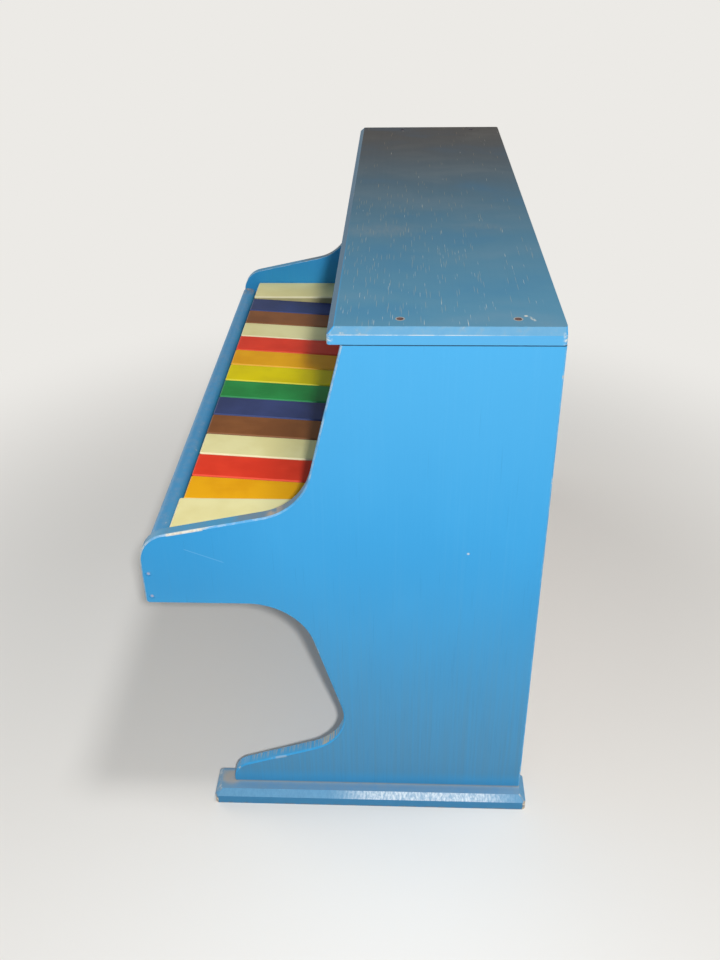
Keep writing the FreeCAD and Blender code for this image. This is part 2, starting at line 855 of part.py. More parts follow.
make_side_panel("side_panel_left", -outer_half, 0, d.panel_thickness, d.left_arm_drop)
make_side_panel("side_panel_right", inner_half, d.panel_thickness, 0, 0)
make_foot("foot_left", outer_half, -1)
make_foot("foot_right", outer_half, 1)
make_top_board()
make_front_rail()
make_key_bed()
make_fall_board()
make_knee_board()
make_back_panel()
make_top_cleats()
make_end_block("end_block_left", -inner_half, d.block_left, d.block_left_front_gap)
make_end_block("end_block_right", keys_right, d.block_right, d.block_right_front_gap)
make_axle("key_axle", d.key_axle_radius, d.key_axle_depth, key_axle_height)
make_axle("hammer_axle", d.hammer_axle_radius, d.hammer_axle_depth, hammer_axle_height)
make_action_bracket("action_bracket_left", bracket_left)
make_action_bracket("action_bracket_right", bracket_right)
felts = []
for place, side in (("front", 1), ("rear", -1)):
    finished(make_bar_strip(f"bar_rail_{place}", side, d.bar_rail_width,
                            bar_rail_bottom, d.bar_rail_height))
    felts.append(make_bar_strip(f"bar_felt_{place}", side, d.bar_felt_width,
                                bar_rail_top, d.bar_felt_thickness))
group("bar_felts", felts)
make_bar_pins()
make_case_nails()
make_key_felts()
for key in range(KEYS):
    make_key(key)
    make_hammer(key)
    make_tone_bar(key)

doc.recompute()
for thing in doc.Objects:
    if "Invalid" in thing.State or "Error" in thing.State:
        raise RuntimeError(f"{thing.Label} failed: {thing.State}")
for label, thing in nodes.items():
    if thing.Shape.isNull() or not thing.Shape.isValid():
        raise RuntimeError(f"{label} has no valid shape")

os.makedirs("parts", exist_ok=True)
for label, thing in nodes.items():
    thing.Shape.exportStep(f"parts/{label}.step")
print(f"{len(nodes)} nodes; a hammer hangs {hammer_drop.value:.3f} degrees below its stroke")
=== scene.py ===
import functools
import json

import bpy
import numpy as np
from mathutils import Matrix, Vector

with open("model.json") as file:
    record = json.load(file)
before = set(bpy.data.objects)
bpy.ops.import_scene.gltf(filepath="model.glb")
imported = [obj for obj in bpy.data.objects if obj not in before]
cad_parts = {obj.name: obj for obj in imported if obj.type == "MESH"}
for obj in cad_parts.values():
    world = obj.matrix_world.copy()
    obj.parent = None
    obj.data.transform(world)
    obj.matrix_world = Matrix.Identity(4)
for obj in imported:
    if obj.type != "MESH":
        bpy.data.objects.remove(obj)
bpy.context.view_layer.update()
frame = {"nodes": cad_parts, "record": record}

# Looks of a toy piano: worn blue paint on plywood, moulded plastic keys,
# and the wood, steel and felt inside.
# Lengths in the materials are millimetres of the shared frame.


def tone(code):
    """A colour written as six sRGB hex digits, as linear values with full alpha."""
    shares = [int(code[place:place + 2], 16) / 255 for place in (0, 2, 4)]
    light = [share / 12.92 if share <= 0.04045 else ((share + 0.055) / 1.055) ** 2.4 for share in shares]
    return (*light, 1.0)


BLUE = tone("389dd8")
BLUE_DEEP = tone("3094cf")
BLUE_SHADE = tone("2b6f9a")
BLUE_RUBBED = tone("86c3e6")
BLUE_DUSTY = tone("527f9a")
SAWN_BLUE = tone("3f86a9")
PORE = tone("1d6698")
PRIMER = tone("e2dccb")
GLINT = tone("e4ecf1")
WOOD = tone("b9a184")
GRIME = tone("7d7263")
DUST = tone("a3a39b")
# A paler, greyer blue for painted sheen on faces turned to the lamp
BLUE_SHEEN = tone("439cd0")
SEAM = tone("17344d")
# Near black for a painted shadow in a gap
GAP_SHADOW = tone("101c26")
# Dark grey for the top's front bevel: dust and painted shade
BEVEL_DUST_AND_SHADE = tone("48565d")
TOP_NEAR = tone("527b8d")
# The top's colour at the bass end: dust with painted shade
TOP_FAR_DUST_AND_SHADE = tone("524c45")
OPEN_GRAIN = tone("c2b184")
RUST = tone("5a3526")
RUST_PALE = tone("8a5a3c")
NAIL_DOT = tone("c9b3ae")
# Dark brown for key flanks: grime and painted shade between the keys
KEY_GRIME_AND_SHADE = tone("4a4034")
EARLY_WOOD = tone("c49c66")
LATE_WOOD = tone("a67c48")
WOOD_PORE = tone("6f4d2a")
FIBRE = tone("5d3f28")
FIBRE_PALE = tone("7a5537")
FIBRE_STAIN = tone("4b3220")
ROD_STEEL = tone("8d9094")
ROD_STAIN = tone("6b5138")
BAR_STEEL = tone("9aa0a6")
BAR_STAIN = tone("70604c")
STEEL_STREAK = tone("d5d7da")
FELT_DEEP = tone("6d2320")
FELT_RED = tone("9a3b33")
FLOOR = tone("e8e6e2")
FLOOR_CLOUD = tone("e4e2de")
PALE = tone("eceae6")

# Places on the case: where a panel's outer face begins, and the middles of the nails
OUTER_FACE = (145.0, 145.4)
TOP_NAILS = [(x, y) for x in (137.3, -137.3) for y in (21.4, 60.4)]
ARM_NAIL_DEPTH = -74.4
ARM_NAIL_HEIGHTS = (122.8, 111.9)
TOP_EDGE_HEIGHT = 222.3


class Shade:
    """One output of a material's nodes: arithmetic on it adds Math nodes, and node() adds any other kind."""

    def __init__(self, tree, socket=None):
        self.tree = tree
        self.socket = socket

    def feed(self, target, value):
        if isinstance(value, Shade):
            self.tree.links.new(value.socket, target)
        else:
            target.default_value = value

    def node(self, kind, settings=None, sockets=None, output=0):
        """Add a node: its settings first, then a value or a link for each of its sockets."""
        made = self.tree.nodes.new(f"ShaderNode{kind}")
        for name, value in (settings or {}).items():
            setattr(made, name, value)
        for name, value in (sockets or {}).items():
            self.feed(made.inputs[name], value)
        return Shade(self.tree, made.outputs[output])

    def sibling(self, output):
        return Shade(self.tree, self.socket.node.outputs[output])

    def parts(self):
        """A vector's three numbers."""
        first = self.node("SeparateXYZ", sockets={0: self})
        return [first.sibling(axis) for axis in range(3)]

    def math(self, operation, *others):
        return self.node("Math", {"operation": operation}, dict(enumerate((self, *others))))

    def __add__(self, other):
        return self.math("ADD", other)

    def __sub__(self, other):
        return self.math("SUBTRACT", other)

    def __rsub__(self, other):
        return self.math("MULTIPLY_ADD", -1.0, other)

    def __mul__(self, other):
        return self.math("MULTIPLY", other)

    def __abs__(self):
        return self.math("ABSOLUTE")

    __radd__ = __add__
    __rmul__ = __mul__

    def most(self, other):
        return self.math("MAXIMUM", other)

    def rise(self, low, high):
        """A smooth step from 0 at low to 1 at high."""
        return self.node("MapRange", {"interpolation_type": "SMOOTHSTEP"},
                         {"Value": self, "From Min": low, "From Max": high})

    def fall(self, low, high):
        """A smooth step from 1 at low to 0 at high."""
        return 1 - self.rise(low, high)

    def band(self, low, high, soft):
        """1 between low and high, with soft sides."""
        return self.rise(low - soft, low) * self.fall(high, high + soft)

    def cover(self, under, over):
        """The colour under, with the colour over laid on it where this mask is 1."""
        return self.node("Mix", {"data_type": "RGBA"}, {0: self, 6: under, 7: over}, 2)


class Surface:
    """A point of a surface in millimetres, and the way it faces."""

    def __init__(self, tree):
        start = Shade(tree)
        metres = start.node("TexCoord", output="Object")
        self.mm = start.node("VectorMath", {"operation": "SCALE"}, {0: metres, "Scale": 1000.0})
        self.x, self.y, self.z = self.mm.parts()
        self.nx, self.ny, self.nz = metres.sibling("Normal").parts()

    def noise(self, waves, seed, detail=2.0, rough=0.5, bend=0.0):
        """Soft noise with that many waves per millimetre along each axis."""
        spread = self.mm.node("VectorMath", {"operation": "MULTIPLY"}, {0: self.mm, 1: waves})
        return self.mm.node("TexNoise", {"noise_dimensions": "4D"},
                            {"Vector": spread, "W": seed, "Scale": 1.0, "Detail": detail,
                             "Roughness": rough, "Distortion": bend})

    def dashes(self, along, across, length, width, chance, seed):
        """Dashes of that length and width, strewn over cells three times their size, each there by chance."""
        spread = 3.0
        spot = self.mm.node("CombineXYZ", None, {"X": along * (1 / (spread * length)) + seed,
                                                 "Y": across * (1 / (spread * width))})
        away = self.mm.node("TexVoronoi", {"voronoi_dimensions": "2D"},
                            {"Vector": spot, "Scale": 1.0}, "Distance")
        luck = away.sibling("Color").parts()[2]
        reach = 0.5 / spread
        return away.fall(0.5 * reach, reach) * luck.math("LESS_THAN", chance)

    def disc(self, across, along, middle, radius, soft):
        """1 inside a circle about the middle in two of the coordinates, with a soft rim."""
        first = across - middle[0]
        second = along - middle[1]
        return (first * first + second * second).math("SQRT").fall(radius, radius + soft)

    def stroke(self, across, along, tail, head, half, soft):
        """1 on a straight mark from tail to head in two of the coordinates."""
        run = np.subtract(head, tail)
        length = float(np.hypot(*run))
        step = run / length
        first = across - float(tail[0])
        second = along - float(tail[1])
        ahead = first * float(step[0]) + second * float(step[1])
        aside = abs(second * float(step[0]) - first * float(step[1]))
        return ahead.band(0.0, length, 1.0) * aside.fall(half, half + soft)

    def bump(self, height, depth):
        """The normal bent by a height of 0 to 1, of that depth in millimetres."""
        return self.mm.node("Bump", None, {"Height": height, "Distance": depth / 1000, "Strength": 1.0})


def finish(name, draw, **constants):
    """A material: draw(surface) gives what varies, and the constants are set on the shader itself."""
    material = bpy.data.materials.new(name)
    material.use_nodes = True
    tree = material.node_tree
    shader = tree.nodes["Principled BSDF"]
    for socket, value in {**constants, **draw(Surface(tree))}.items():
        Shade(tree).feed(shader.inputs[socket.replace("_", " ")], value)
    return material


def laid(colour, *coats):
    """A colour with coats laid on it in turn, each a mask and the colour it lays on."""
    for mask, over in coats:
        colour = mask.cover(colour, over)
    return colour


def paint_film(surface, colour, grain, worn, dirt):
    """The skin of the paint: brush lines along the grain, duller where worn, dullest under dirt."""
    brush = surface.noise(grain, 2.0, 3.0, 0.6)
    skin = surface.noise((0.4, 0.4, 0.4), 3.0, 2.0)
    rough = 0.40 + brush * 0.12 + worn * 0.25 + dirt * 0.3
    height = brush * 0.5 + skin * 0.3 - worn * 0.6
    return {"Base Color": colour, "Roughness": rough, "Normal": surface.bump(height, 0.06)}


def panel_paint(surface):
    """Side panel: upright grain, dust and painted shade towards the foot, a painted sheen up high, painted
    shade on the arm, edges rubbed pale, tan saw marks on sawn edges.
    """
    y, z = surface.y, surface.z
    side = abs(surface.nx)
    eased = side.band(0.35, 0.85, 0.1)
    sawn = side.fall(0.15, 0.35)
    face = side.rise(0.85, 0.97)
    outside = abs(surface.x).rise(*OUTER_FACE)
    treble = surface.x.rise(*OUTER_FACE)
    cloud = surface.noise((0.02, 0.02, 0.012), 10.0, 3.0)
    rub = surface.noise((0.22, 0.22, 0.22), 11.0, 4.0, 0.65)
    # Grows towards the foot: dust, and painted shade for light falling off downwards
    low = z.fall(10.0, 150.0) * (0.55 + 0.45 * z.rise(9.0, 16.0))
    hairs = surface.dashes(z, y, 16.0, 0.16, 0.03 + low * 0.5, 0.4) * face
    streaks = surface.noise((0.3, 0.9, 0.012), 13.0, 3.0, 0.6)

    saw = surface.noise((0.05, 1.3, 1.3), 12.0, 3.0, 0.6)
    inner = abs(surface.x).fall(141.5, 145.5)
    waist = sawn * z.fall(36.0, 52.0) * y.fall(8.0, 16.0)
    curve = z.band(22.0, 34.0, 6.0) * y.rise(-22.0, -8.0)
    ticks = waist * saw.rise(0.45, 0.6) * (inner * 0.55).most(curve)
    knee = z.fall(60.0, 110.0) * y.fall(20.0, 30.0)
    crook = sawn * z.band(145.0, 157.0, 5.0) * y.band(-36.0, -14.0, 6.0)
    crook_tan = crook * surface.disc(y, z, (-24.5, 151.2), 1.0, 3.5) * rub.rise(0.35, 0.6)
    arm_top = sawn * z.band(134.0, 146.0, 3.0)

    arm_chip = surface.stroke(y, z, (-65.0, 141.2), (-52.0, 143.9), 0.3, 0.45) * rub.rise(0.36, 0.52)
    arm_thin = surface.stroke(y, z, (-54.0, 143.6), (-47.0, 145.5), 0.1, 0.25)
    front = eased * y.fall(-75.5, -72.0) * z.rise(118.0, 134.0)
    arm_edge = eased * y.fall(-30.0, -18.0) * z.rise(100.0, 106.0)
    waist_chip = surface.stroke(y, z, (-31.0, 21.9), (-27.0, 22.9), 0.3, 0.3)
    marks = arm_chip.most(arm_thin * 0.7).most(waist_chip * 0.3) * outside
    chips = marks.most(front * rub.rise(0.32, 0.55) * 0.8).most(eased * rub.rise(0.62, 0.68) * 0.8)
    scratch = surface.stroke(y, z, (-58.9, 134.5), (-45.3, 129.0), 0.05, 0.22) * treble
    fleck = surface.disc(y, z, (47.6, 134.3), 0.2, 0.5) * treble
    upper_smear = surface.disc(y, z, (-74.2, 123.2), 0.7, 0.5)
    lower_smear = surface.disc(y, z, (-73.9, 111.6), 0.6, 0.5)
    smears = upper_smear.most(lower_smear)
    seam = z.rise(218.4, 218.6) * (0.75 + 0.2 * rub.rise(0.3, 0.5))
    # Painted sheen: the upper part of the face is laid in a paler, greyer blue, as if the paint caught the
    # light
    upper = z.rise(120.0, 215.0) * face
    # Painted shade: the arm is laid in the deeper blue to darken it
    arm_shade = y.fall(-60.0, -20.0) * z.rise(95.0, 120.0) * face
    front_rim = eased * z.rise(152.0, 170.0) * y.fall(20.0, 30.0)
    foot_line = z.fall(6.8, 7.6)

    colour = laid(
        (cloud.rise(0.3, 0.7) * 0.6).cover(BLUE, BLUE_DEEP),
        (upper, BLUE_SHEEN),
        (arm_shade, BLUE_DEEP),
        (streaks.rise(0.5, 0.75) * 0.03, BLUE_RUBBED),
        (low * (0.52 + 0.2 * streaks.rise(0.3, 0.75)) * face, BLUE_DUSTY),
        (hairs * 0.22, PORE),
        (sawn * 0.85, SAWN_BLUE),
        (waist * 0.75, BLUE),
        (ticks * 0.8, OPEN_GRAIN),
        (crook * (0.35 + 0.3 * rub.rise(0.3, 0.7)), GRIME),
        (crook_tan * 0.8, WOOD),
        (arm_top * rub.rise(0.4, 0.7) * 0.2, GRIME),
        (eased * (0.1 + 0.4 * rub.rise(0.42, 0.64)) * (1 - 0.8 * knee), BLUE_RUBBED),
        (arm_edge * (0.06 + 0.22 * rub.rise(0.35, 0.6)), PRIMER),
        (scratch * 0.3, BLUE_RUBBED),
        (smears * rub.rise(0.35, 0.6) * 0.15, DUST),
        (chips * 0.9, (rub.rise(0.5, 0.64) * 0.5).cover(PRIMER, WOOD)),
        (fleck * 0.6, PRIMER),
        (front_rim * rub.rise(0.35, 0.6) * 0.3, PRIMER),
        (seam, SEAM),
        (foot_line * 0.7, DUST),
    )
    return paint_film(surface, colour, (0.5, 0.7, 0.02), chips, ticks.most(crook * 0.6))


def top_paint(surface):
    """Top board: dusty, and darker towards the bass end as dust and painted shade, with pale dashes of open
    grain and a few chips.
    """
    x, y, z = surface.x, surface.y, surface.z
    flat = surface.nz.rise(0.85, 0.97)
    bevel = surface.nz.band(0.4, 0.85, 0.1)
    end = abs(surface.nx).rise(0.5, 0.7)
    rub = surface.noise((0.3, 0.3, 0.3), 21.0, 4.0, 0.65)
    far = x.fall(-145.0, 142.0)
    wipe = surface.noise((0.032, 0.019, 0.03), 22.0, 3.5, 0.55, 0.4)
    cloud = surface.noise((0.014, 0.02, 0.02), 23.0, 3.0)
    fade = surface.noise((0.2, 0.9, 0.5), 24.0, 1.0)
    near_share = x.rise(10.0, 130.0)
    hairs = surface.dashes(x, y, 24.0, 0.22, 0.2, 0.7)
    pale_share = 0.02 + 0.26 * near_share * y.fall(20.0, 90.0)
    pale = surface.dashes(x, y, 6.0, 0.2, pale_share, 0.2) * fade.rise(0.35, 0.75)
    tan_share = 0.05 + 0.4 * x.band(10.0, 110.0, 70.0) * y.fall(10.0, 80.0)
    tan = surface.dashes(x, y, 8.0, 0.2, tan_share, 0.9)
    front_smudge = surface.disc(x * 1.6, y, (72.6, 17.0), 2.0, 22.0)
    back_smudge = surface.disc(x * 1.6, y, (68.6, 53.5), 1.0, 16.0)
    smudge = front_smudge.most(back_smudge) * wipe.rise(0.3, 0.6) * fade.rise(0.1, 0.7)

    nails = functools.reduce(Shade.most, [surface.disc(x, y, middle, 1.35, 0.5) for middle in TOP_NAILS])
    chip = surface.disc(x, y, (134.7, 63.2), 0.35, 0.5)
    broken = surface.noise((1.1, 1.1, 1.1), 25.0).rise(0.4, 0.6)
    arc = surface.stroke(x, y, (135.8, 64.6), (138.4, 65.6), 0.2, 0.7) * broken * 0.7
    corner = surface.disc(x, y, (146.4, -3.2), 1.4, 1.6).most(surface.disc(x, y, (146.4, 76.5), 1.2, 1.4))
    lower_line = abs(z - TOP_EDGE_HEIGHT).fall(0.05, 0.18) * x.rise(*OUTER_FACE) * y.fall(25.0, 76.0)
    lower_line = lower_line * (0.3 + 0.7 * rub.rise(0.36, 0.56))
    scuff = bevel * (rub + 0.1 * y.fall(-2.0, 12.0)).rise(0.68, 0.78) * x.rise(120.0, 130.0) * 0.35
    chipped = chip.most(arc) * flat * 0.65
    bare = chipped.most(corner * rub.rise(0.45, 0.6)).most(lower_line * 0.55).most(scuff)
    front = surface.ny.fall(-0.68, -0.4) * bevel
    front_line = abs(y + 0.4).fall(0.1, 0.45) * flat * near_share
    dust = flat * (0.85 + 0.12 * far)

    colour = laid(
        (cloud.rise(0.3, 0.7) * 0.8).cover(BLUE, BLUE_DEEP),
        (hairs * flat * 0.4, PORE),
        # The top darkens towards the bass end: dust, and painted shade for light falling off
        (dust, far.cover(TOP_NEAR, TOP_FAR_DUST_AND_SHADE)),
        (wipe.rise(0.45, 0.8) * flat * 0.12, DUST),
        (wipe.fall(0.3, 0.5) * flat * (0.25 - 0.15 * far), BLUE_SHADE),
        (smudge * flat * 0.08, WOOD),
        (tan * flat * 0.28, OPEN_GRAIN),
        # The front bevel laid dark grey: dust, and painted shade where it faces away from the light
        (front * 0.78, BEVEL_DUST_AND_SHADE),
        (front_line * 0.4, BLUE),
        (pale * flat * 0.6, PRIMER),
        (bevel * end * (0.12 + 0.12 * rub.rise(0.35, 0.6)), BLUE_RUBBED),
        (bevel * end * (0.2 + 0.2 * rub.rise(0.5, 0.7)), DUST),
        (bevel * end * 0.45, TOP_NEAR),
        # The end face in the same paler blue: painted sheen
        (end * (1 - bevel), BLUE_SHEEN),
        (end * (1 - bevel) * 0.08, DUST),
        (nails * x.rise(-100.0, 100.0) * 0.55, WOOD),
        (nails * flat.fall(0.2, 0.6) * 0.85, RUST),
        (bare, (rub.rise(0.55, 0.68) * 0.4).cover(PRIMER, WOOD)),
    )
    return paint_film(surface, colour, (0.02, 0.7, 0.5), bare, dust)


def rail_paint(surface):
    """Front rail: grain along it, dust on its round top, tan grime at both ends, and a painted shadow on its
    inner side.
    """
    rub = surface.noise((0.3, 0.3, 0.3), 31.0, 4.0, 0.65)
    cloud = surface.noise((0.015, 0.1, 0.1), 32.0, 3.0)
    ends = abs(surface.x).rise(128.0, 139.0)
    top = surface.nz.rise(0.4, 1.0)
    # Painted shadow: the inner side next to the keys is laid near black
    painted_gap_shadow = surface.ny.rise(0.6, 0.95) * surface.z.fall(122.5, 125.5)
    bare = rub.rise(0.66, 0.72) * top * 0.5
    dirt = (top * rub.rise(0.35, 0.7) * 0.12).most(ends * rub.rise(0.3, 0.55) * 0.7 * top)
    colour = laid(
        cloud.rise(0.3, 0.7).cover(BLUE, BLUE_DEEP),
        (0.35 + top * 0.15, BLUE_DUSTY),
        (dirt, rub.rise(0.4, 0.6).cover(GRIME, WOOD)),
        (bare, PRIMER),
        (painted_gap_shadow * 0.9, GAP_SHADOW),
    )
    return paint_film(surface, colour, (0.02, 0.7, 0.7), bare, dirt)


def foot_paint(surface):
    """Foot: dusty on top, grimy along the panel and at its toe, a brushed bevel painted paler with a painted
    highlight of glints along its middle, corners rubbed bare.
    """
    x, y, z = abs(surface.x), surface.y, surface.z
    rub = surface.noise((0.3, 0.3, 0.3), 41.0, 4.0, 0.65)
    flat = surface.nz.rise(0.85, 0.97)
    bevel = surface.nz.band(0.4, 0.85, 0.1)
    brushed = surface.noise((0.5, 1.1, 0.5), 42.0, 3.5, 0.7)
    beside = abs(x - 143.3).fall(2.6, 4.4)
    toe = surface.disc(x, y, (144.0, -51.8), 2.4, 3.0)
    corner = (abs(surface.nx) * abs(surface.ny)).rise(0.08, 0.25)
    front = surface.ny.fall(-0.9, -0.4)
    lower = z.fall(0.3, 0.9)
    dirt = flat * (0.55 + 0.15 * rub.rise(0.3, 0.65)).most(beside * (0.5 + 0.3 * rub.rise(0.2, 0.55)))
    bare = (corner * rub.rise(0.4, 0.55)).most(bevel * front * rub.rise(0.4, 0.6) * 0.6)
    # Painted highlight: pale glints along the middle of the bevel, where it would catch the light
    glint = bevel * (0.25 + 0.75 * brushed.rise(0.35, 0.68)) * y.band(14.0, 54.0, 24.0)
    colour = laid(
        rub.rise(0.3, 0.7).cover(BLUE_DEEP, BLUE),
        ((1 - flat) * 0.5, BLUE_DUSTY),
        (surface.nz.fall(0.1, 0.4) * 0.4, BLUE_SHADE),
        (dirt, (0.45 + beside * 0.4).cover(BLUE_DUSTY, DUST)),
        (toe * flat * 0.42, WOOD),
        (lower * rub.rise(0.42, 0.58) * 0.5, GRIME),
        # The bevel laid paler: partly rubbed paint, partly a painted highlight
        (bevel * (0.05 + 0.15 * brushed.rise(0.3, 0.7)), BLUE_RUBBED),
        (bevel * 0.1, DUST),
        (glint * 0.85, GLINT),
        (bare, rub.rise(0.5, 0.6).cover(WOOD, PRIMER)),
    )
    return paint_film(surface, colour, (0.5, 0.02, 0.4), bare, dirt)


def board_paint(surface):
    """Inner boards: the same paint with level grain, a little dust low down, and a few small worn spots."""
    cloud = surface.noise((0.008, 0.02, 0.02), 51.0, 3.0)
    streaks = surface.noise((0.012, 0.9, 0.9), 52.0, 3.0, 0.6)
    rub = surface.noise((0.25, 0.25, 0.25), 53.0, 4.0, 0.65)
    hairs = surface.dashes(surface.x, surface.z, 18.0, 0.16, 0.2, 0.6)
    low = surface.z.fall(20.0, 110.0)
    bare = rub.rise(0.74, 0.78) * 0.6
    dirt = streaks.rise(0.35, 0.7) * 0.15 + low * 0.25
    colour = laid(
        (cloud.rise(0.3, 0.7) * 0.6).cover(BLUE, BLUE_DEEP),
        (streaks.rise(0.45, 0.75) * 0.08, BLUE_RUBBED),
        (dirt, BLUE_DUSTY),
        (hairs * 0.25, PORE),
        (bare, PRIMER),
    )
    return paint_film(surface, colour, (0.02, 0.7, 0.7), bare, dirt)


def plastic(colour, deep, pale):
    """Moulded plastic: cloudy colour, faint scratches along the key, edges painted pale as a painted
    highlight with some wear, flanks darkened with grime and painted shade between the keys.
    """

    def draw(surface):
        cloud = surface.noise((0.05, 0.05, 0.05), 61.0, 3.0, 0.5)
        hairs = surface.dashes(surface.y, surface.x, 9.0, 0.2, 0.1, 0.3)
        edge_highlight = surface.nz.band(0.3, 0.9, 0.08)
        low = surface.nz.fall(0.1, 0.5)
        shade = laid(
            cloud.rise(0.35, 0.65).cover(deep, colour),
            (hairs * 0.12, pale),
            # Painted highlight: the rounded edges laid pale, with some wear
            (edge_highlight * 0.55, pale),
            # The flanks between keys darkened: grime, and painted shade in the gaps
            (low * (0.2 + 0.25 * cloud.rise(0.3, 0.6)), KEY_GRIME_AND_SHADE),
        )
        rough = 0.22 + cloud * 0.2 + hairs * 0.1
        return {"Base Color": shade, "Roughness": rough,
                "Normal": surface.bump(cloud * 0.9 - hairs * 0.1, 0.15)}

    return draw


def bare_wood(grain, rings):
    """Unpainted wood: bands of early and late wood along the grain, with dark pores."""

    def draw(surface):
        bands = surface.noise(rings, 71.0, 3.0, 0.55, 0.6)
        pores = surface.noise(grain, 72.0, 2.0, 0.6)
        shade = laid(
            bands.rise(0.3, 0.7).cover(EARLY_WOOD, LATE_WOOD),
            (pores.rise(0.6, 0.7) * 0.5, WOOD_PORE),
        )
        return {"Base Color": shade, "Roughness": 0.6 + pores * 0.25,
                "Normal": surface.bump(bands * 0.6 + pores * 0.4, 0.1)}

    return draw


def hardboard(surface):
    """Pressed brown board: short fibres and a mottled, slightly polished face."""
    fibre = surface.noise((0.9, 2.0, 0.9), 81.0, 4.0, 0.7)
    cloud = surface.noise((0.02, 0.02, 0.02), 82.0, 3.0)
    shade = laid(
        fibre.rise(0.35, 0.65).cover(FIBRE, FIBRE_PALE),
        (cloud.rise(0.4, 0.7) * 0.4, FIBRE_STAIN),
    )
    return {"Base Color": shade, "Roughness": 0.5 + fibre * 0.3, "Normal": surface.bump(fibre, 0.08)}


def steel(base, stain, streak):
    """Plain steel: drawn or rolled streaks and a little brown stain."""

    def draw(surface):
        lines = surface.noise(streak, 91.0, 3.0, 0.6)
        spots = surface.noise((0.12, 0.12, 0.12), 92.0, 4.0, 0.65)
        stained = spots.rise(0.56, 0.7) * 0.7
        shade = laid(lines.rise(0.3, 0.7).cover(base, STEEL_STREAK), (stained, stain))
        return {"Base Color": shade, "Roughness": 0.24 + lines * 0.15 + stained * 0.4,
                "Metallic": 1 - stained * 0.6, "Normal": surface.bump(lines, 0.02)}

    return draw


def nail_steel(surface):
    """Nail heads: brown rust in the top and the feet, blue with a pale dot in the arms."""
    grit = surface.noise((1.5, 1.5, 1.5), 95.0, 4.0, 0.7)
    flush = abs(surface.nx).rise(0.8, 0.95)
    upper, lower = (
        surface.disc(surface.y, surface.z, (ARM_NAIL_DEPTH, height), 0.3, 0.6) for height in ARM_NAIL_HEIGHTS
    )
    dots = upper.most(lower) * grit.rise(0.25, 0.5) * 0.6
    shade = laid(
        grit.rise(0.4, 0.6).cover(RUST, RUST_PALE),
        (flush, dots.cover(BLUE_DEEP, NAIL_DOT)),
        # Nails at the bass end take the top's dusty colour with its painted shade
        (surface.x.fall(-120.0, 0.0) * surface.nz.rise(0.5, 0.9) * 0.75, TOP_FAR_DUST_AND_SHADE),
    )
    return {"Base Color": shade, "Roughness": 0.6 + grit * 0.3, "Metallic": 0.3 * grit,
            "Normal": surface.bump(grit, 0.1)}


def felt(surface):
    """Pressed felt: a fuzzy, uneven wool red."""
    fuzz = surface.noise((2.2, 2.2, 2.2), 98.0, 4.0, 0.75)
    shade = fuzz.rise(0.3, 0.7).cover(FELT_DEEP, FELT_RED)
    return {"Base Color": shade, "Roughness": 0.85 + fuzz * 0.15, "Normal": surface.bump(fuzz, 0.3)}


PLASTICS = {
    "key_cream": ("ece2a6", "e3d797", "f5eed0"),
    "key_blue": ("3a4571", "323c62", "56608f"),
    "key_brown": ("8b562f", "7b4a27", "997054"),
    "key_red": ("ea4229", "dc3821", "ee6852"),
    "key_orange": ("efab14", "e49c0a", "f4c160"),
    "key_yellow": ("e4cf03", "d6c002", "f0e460"),
    "key_green": ("2b8f46", "22803b", "55a774"),
}
finishes = {
    slot: finish(slot, plastic(*(tone(code) for code in codes)), Specular_IOR_Level=0.04)
    for slot, codes in PLASTICS.items()
}
finishes["bare_wood"] = finish("bare_wood", bare_wood((0.05, 1.2, 1.2), (0.01, 0.12, 0.3)))
finishes["hammer_wood"] = finish("hammer_wood", bare_wood((1.2, 0.06, 1.2), (0.3, 0.012, 0.3)))
finishes["hardboard"] = finish("hardboard", hardboard)
finishes["steel"] = finish("steel", steel(ROD_STEEL, ROD_STAIN, (0.02, 1.5, 1.5)))
finishes["tone_steel"] = finish("tone_steel", steel(BAR_STEEL, BAR_STAIN, (1.5, 0.03, 1.0)))
finishes["rusty_steel"] = finish("rusty_steel", nail_steel)
finishes["felt"] = finish("felt", felt, Sheen_Weight=0.4)
finishes["blue_paint"] = finish("board_paint", board_paint, Specular_IOR_Level=0.35)
PAINTED = {
    "side_panel_left": panel_paint,
    "side_panel_right": panel_paint,
    "top_board": top_paint,
    "front_rail": rail_paint,
    "foot_left": foot_paint,
    "foot_right": foot_paint,
}
SHEENS = {panel_paint: 0.2, top_paint: 0.08, rail_paint: 0.15, foot_paint: 0.2}
for draw, sheen in SHEENS.items():
    finishes[draw] = finish(draw.__name__, draw, Specular_IOR_Level=sheen)

slots = {row["node"]: row["material_slot"] for row in frame["record"]["subparts"]}
for node, piece in frame["nodes"].items():
    piece.data.materials.clear()
    piece.data.materials.append(finishes[PAINTED.get(node, slots[node])])

def seen_direct(shade):
    """1 where a ray comes straight from the camera, or by a mirror or through glass."""
    path = shade.node("LightPath", output="Is Camera Ray")
    return path.most(path.sibling("Is Glossy Ray")).most(path.sibling("Is Transmission Ray"))


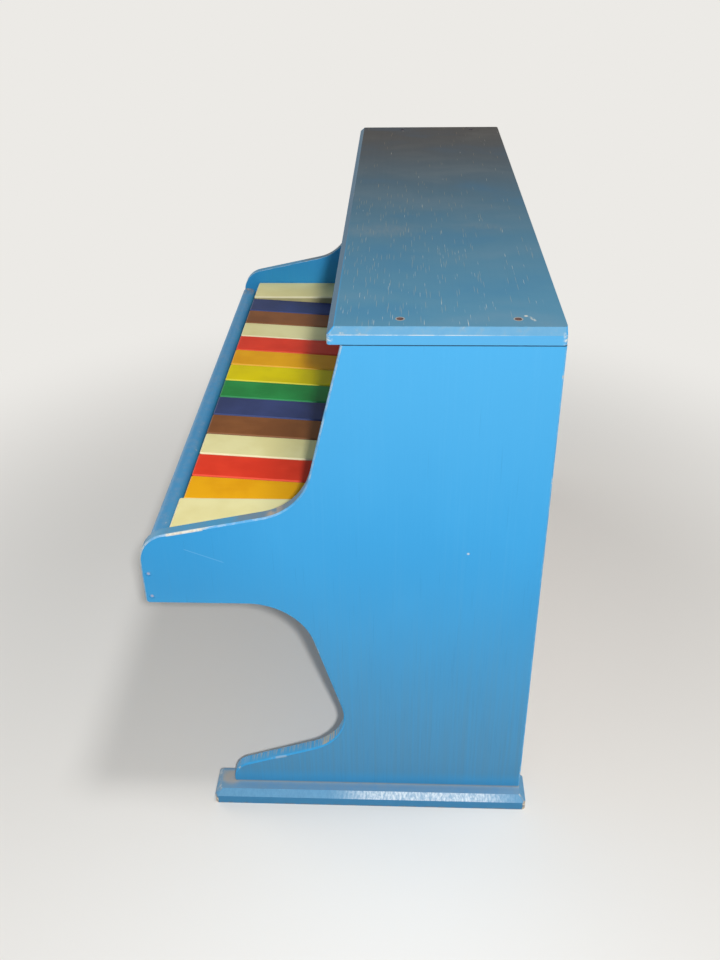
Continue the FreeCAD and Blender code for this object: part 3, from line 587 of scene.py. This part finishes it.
def floor_paint(name):
    """A plain pale floor that holds the shadow by the object and fades to an even pale ground further off."""
    material = bpy.data.materials.new(name)
    material.use_nodes = True
    tree = material.node_tree
    surface = Surface(tree)
    cloud = surface.noise((0.004, 0.004, 0.004), 101.0, 3.0)
    shader = tree.nodes["Principled BSDF"]
    surface.mm.feed(shader.inputs["Base Color"], cloud.cover(FLOOR, FLOOR_CLOUD))
    surface.mm.feed(shader.inputs["Roughness"], 0.75 + cloud * 0.1)
    away = surface.disc(surface.x, surface.y, (0.0, 0.0), 150.0, 270.0)
    even = surface.mm.node("Emission", None, {"Color": PALE, "Strength": 1.0})
    share = (1 - away) * seen_direct(surface.mm)
    lit = Shade(tree, shader.outputs[0])
    mixed = surface.mm.node("MixShader", None, {0: share, 1: lit, 2: even})
    tree.links.new(mixed.socket, tree.nodes["Material Output"].inputs["Surface"])
    return material


def make_floor(half):
    """A square sheet at height 0, corners at plus and minus half."""
    signs = np.array([(-1, -1), (1, -1), (1, 1), (-1, 1)], float)
    corners = np.column_stack([signs * half, np.zeros(4)])
    mesh = bpy.data.meshes.new("studio_floor")
    mesh.from_pydata(corners.tolist(), [], [(0, 1, 2, 3)])
    floor = bpy.data.objects.new("studio_floor", mesh)
    bpy.context.scene.collection.objects.link(floor)
    mesh.materials.append(floor_paint("studio_floor"))


def add_lamp(name, place, aim, size, watts):
    """A soft square lamp at a place, facing its aim."""
    light = bpy.data.lights.new(name, "AREA")
    light.size = size
    light.energy = watts
    lamp = bpy.data.objects.new(name, light)
    lamp.location = place
    lamp.rotation_euler = (Vector(aim) - Vector(place)).to_track_quat("-Z", "Y").to_euler()
    lamp.visible_camera = False
    bpy.context.scene.collection.objects.link(lamp)


def light_room(strength):
    """An even dim room that looks as pale as the floor to the camera."""
    world = bpy.data.worlds.new("studio")
    world.use_nodes = True
    tree = world.node_tree
    start = Shade(tree)
    direct = seen_direct(start)
    background = tree.nodes["Background"]
    background.inputs["Color"].default_value = PALE
    start.feed(background.inputs["Strength"], direct * (1 - strength) + strength)
    bpy.context.scene.world = world


def add_camera(place, pitch, yaw, roll, lens):
    """A camera looking along -X, turned down by pitch and to -Y by yaw, and rolled about its sight line."""
    pitch, yaw, roll = np.radians((pitch, yaw, roll))
    ahead = np.array((-np.cos(pitch) * np.cos(yaw), -np.cos(pitch) * np.sin(yaw), -np.sin(pitch)))
    level = np.cross(ahead, (0, 0, 1))
    level /= np.linalg.norm(level)
    upright = np.cross(level, ahead)
    right = np.cos(roll) * level + np.sin(roll) * upright
    up = np.cos(roll) * upright - np.sin(roll) * level
    pose = np.eye(4)
    pose[:3] = np.column_stack((right, up, -ahead, place))
    camera = bpy.data.objects.new("camera", bpy.data.cameras.new("camera"))
    camera.data.lens = lens
    camera.data.sensor_width = 36.0
    camera.data.clip_start = 0.01
    camera.matrix_world = Matrix(pose.tolist())
    bpy.context.scene.collection.objects.link(camera)
    bpy.context.scene.camera = camera


# Lamps: place, aim and size in metres, and power in watts. The first stands near the camera.
LAMPS = {
    "camera_side_lamp": ((0.502, 0.052, 0.407), (0.05, 0.0, 0.13), 0.014, 1.95),
    "over_lamp": ((0.15, 0.33, 1.3), (0.0, 0.0, 0.12), 0.2, 4.8),
    "front_lamp": ((-0.9, -1.3, 0.5), (0.0, 0.0, 0.12), 1.0, 8.0),
    "back_lamp": ((-0.5, 1.3, 1.0), (0.0, 0.0, 0.1), 1.2, 3.0),
}
make_floor(half=6.0)
add_camera(place=(0.4363, 0.0218, 0.3504), pitch=32.31, yaw=2.79, roll=-0.94, lens=36.17)
for name, (place, aim, size, watts) in LAMPS.items():
    add_lamp(name, place, aim, size, watts)
light_room(strength=0.22)
bpy.context.scene.view_settings.view_transform = "Standard"
